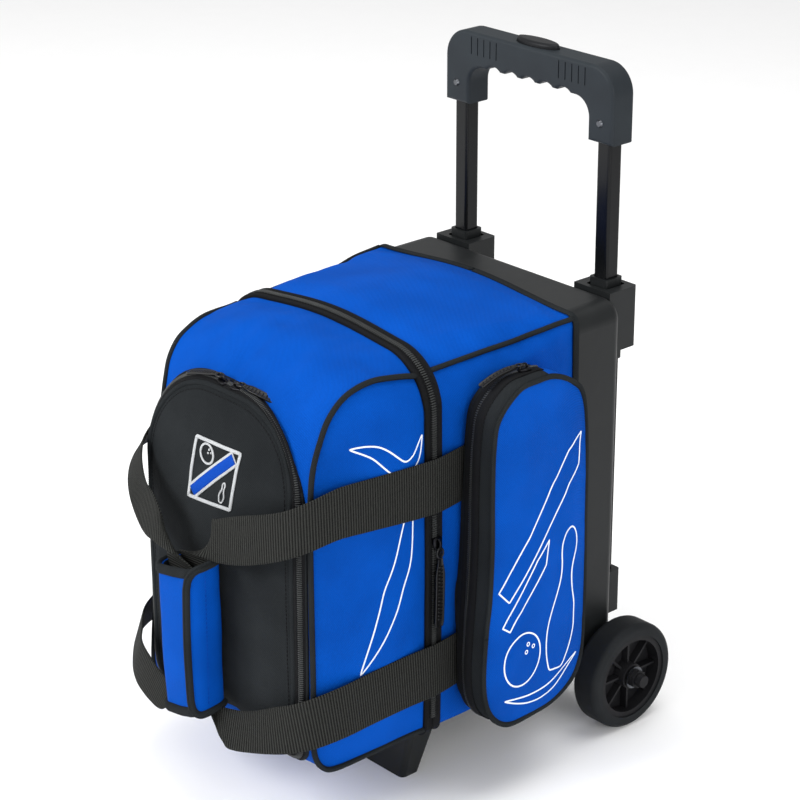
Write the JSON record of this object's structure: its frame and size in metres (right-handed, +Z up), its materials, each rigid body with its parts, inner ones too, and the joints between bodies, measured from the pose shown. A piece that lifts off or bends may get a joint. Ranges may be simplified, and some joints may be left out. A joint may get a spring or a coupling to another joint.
{
  "type": "bowling ball bag",
  "caption": "Upright roller bag for a bowling ball: zip-open front, ball cup, a side shoe pocket, carry straps, wheels, front stand and a telescoping trolley handle.",
  "frame": {"origin": "middle of the bounding box's underside, on the ground between the wheels and the front stand", "axes": "+Z up; the lid and front pocket face -Y, the trolley handle is at +Y; X = 0 is the middle of the bag, and the shoe pocket is on its +X side"},
  "size_m": [0.355, 0.4468, 0.6108],
  "materials": {
    "blue_fabric": "woven polyester, matt",
    "black_fabric": "woven polyester, matt",
    "zip_tape": "zip tape with coil teeth",
    "webbing": "ribbed webbing",
    "foam": "foam, lined",
    "board": "ribbed stiffener",
    "frame_plastic": "fine moulded texture",
    "grip_plastic": "soft-touch, dark slate",
    "button_plastic": "moulded",
    "tube_enamel": "gloss black enamel",
    "tyre_compound": "satin polyurethane",
    "hub_plastic": "moulded",
    "steel": "zinc plated",
    "slider_metal": "black enamel",
    "patch": "embroidered"
  },
  "bodies": {
    "bag_body": {"rear_frame": "frame_plastic", "upper_housing_left": "frame_plastic", "upper_housing_right": "frame_plastic", "lower_bracket_left": "frame_plastic", "lower_bracket_right": "frame_plastic", "outer_tube_left": "tube_enamel", "outer_tube_right": "tube_enamel", "axle_bolt_left": "steel", "axle_bolt_right": "steel", "carry_strap_left": "webbing", "carry_strap_right": "webbing", "side_pocket_base": "blue_fabric", "axle_washers": "steel", "axle_nuts": "hub_plastic", "axle_caps": "hub_plastic", "body_shell": "blue_fabric", "base_board": "board", "ball_cup": "foam", "front_stand": "frame_plastic", "frame_screws": "steel", "base_rivets": "frame_plastic", "body_zip_band": "zip_tape", "handle_wrap": "blue_fabric"},
    "lid": {"lid_shell": "blue_fabric", "lid_zip_band": "zip_tape", "front_pocket": "black_fabric", "emblem_patch": "patch"},
    "middle_stage": {"middle_tube_left": "tube_enamel", "middle_tube_right": "tube_enamel", "middle_collar_left": "frame_plastic", "middle_collar_right": "frame_plastic"},
    "handle": {"inner_tube_left": "tube_enamel", "inner_tube_right": "tube_enamel", "inner_glides": "frame_plastic", "grip_front_shell": "grip_plastic", "grip_rear_shell": "grip_plastic", "grip_screws": "steel", "button_spring": "steel"},
    "release": {"grip_button": "button_plastic", "release_yoke": "button_plastic"},
    "main_slider": {"main_slider": "slider_metal"},
    "main_pull": {"main_pull": "slider_metal"},
    "side_flap": {"side_pocket_flap": "blue_fabric"},
    "side_slider": {"side_slider": "slider_metal"},
    "side_pull": {"side_pull": "slider_metal"},
    "wheel_left": {"tyre_left": "tyre_compound", "hub_left": "hub_plastic", "wheel_bush_left": "hub_plastic"},
    "front_slider_left": {"front_slider_left": "slider_metal"},
    "front_pull_left": {"front_pull_left": "slider_metal"},
    "wheel_right": {"tyre_right": "tyre_compound", "hub_right": "hub_plastic", "wheel_bush_right": "hub_plastic"},
    "front_slider_right": {"front_slider_right": "slider_metal"},
    "front_pull_right": {"front_pull_right": "slider_metal"}
  },
  "joints": [
    {"name": "lid_hinge", "type": "hinge", "parent": "bag_body", "child": "lid", "pos_m": [0, -0.044, 0.062], "axis": [1, 0, 0], "range_deg": [0, 80], "deforming": ["carry_strap_left", "carry_strap_right", "handle_wrap"]},
    {"name": "middle_slide", "type": "slide", "parent": "bag_body", "child": "middle_stage", "axis": [0, 0, 1], "range_m": [0, 0.205]},
    {"name": "handle_slide", "type": "slide", "parent": "middle_stage", "child": "handle", "axis": [0, 0, 1], "range_m": [-0.122, 0.105]},
    {"name": "button_press", "type": "slide", "parent": "handle", "child": "release", "axis": [0, 0, -1], "range_m": [0, 0.0035], "stiffness_N_per_m": 500, "springref_m": -0.008, "deforming": ["button_spring"]},
    {"name": "main_slider_travel", "type": "slide", "parent": "bag_body", "child": "main_slider", "axis": [0, 0, 1], "range_m": [-0.014, 0.022]},
    {"name": "side_flap_hinge", "type": "hinge", "parent": "bag_body", "child": "side_flap", "pos_m": [0.151, 0.0965, 0.2285], "axis": [0, 0, 1], "range_deg": [0, 70]},
    {"name": "side_slider_travel", "type": "slide", "parent": "bag_body", "child": "side_slider", "axis": [0, -1, 0], "range_m": [0, 0.03]},
    {"name": "side_pull_swing", "type": "hinge", "parent": "side_slider", "child": "side_pull", "pos_m": [0.1505, 0.0315, 0.39], "axis": [-1, 0, 0], "range_deg": [0, 150]},
    {"name": "main_pull_swing", "type": "hinge", "parent": "main_slider", "child": "main_pull", "pos_m": [0.13765, -0.0445, 0.239], "axis": [0, -1, 0], "range_deg": [0, 150]},
    {"name": "wheel_spin_left", "type": "hinge", "parent": "bag_body", "child": "wheel_left", "pos_m": [-0.15, 0.1725, 0.0509], "axis": [1, 0, 0], "continuous": true},
    {"name": "front_slider_travel_left", "type": "slide", "parent": "lid", "child": "front_slider_left", "axis": [-1, 0, 0], "range_m": [0, 0.02]},
    {"name": "front_pull_swing_left", "type": "hinge", "parent": "front_slider_left", "child": "front_pull_left", "pos_m": [-0.015, -0.157, 0.391], "axis": [0, 1, 0], "range_deg": [0, 100]},
    {"name": "wheel_spin_right", "type": "hinge", "parent": "bag_body", "child": "wheel_right", "pos_m": [0.15, 0.1725, 0.0509], "axis": [1, 0, 0], "continuous": true},
    {"name": "front_slider_travel_right", "type": "slide", "parent": "lid", "child": "front_slider_right", "axis": [1, 0, 0], "range_m": [0, 0.02]},
    {"name": "front_pull_swing_right", "type": "hinge", "parent": "front_slider_right", "child": "front_pull_right", "pos_m": [0.015, -0.157, 0.391], "axis": [0, -1, 0], "range_deg": [0, 100]}
  ]
}
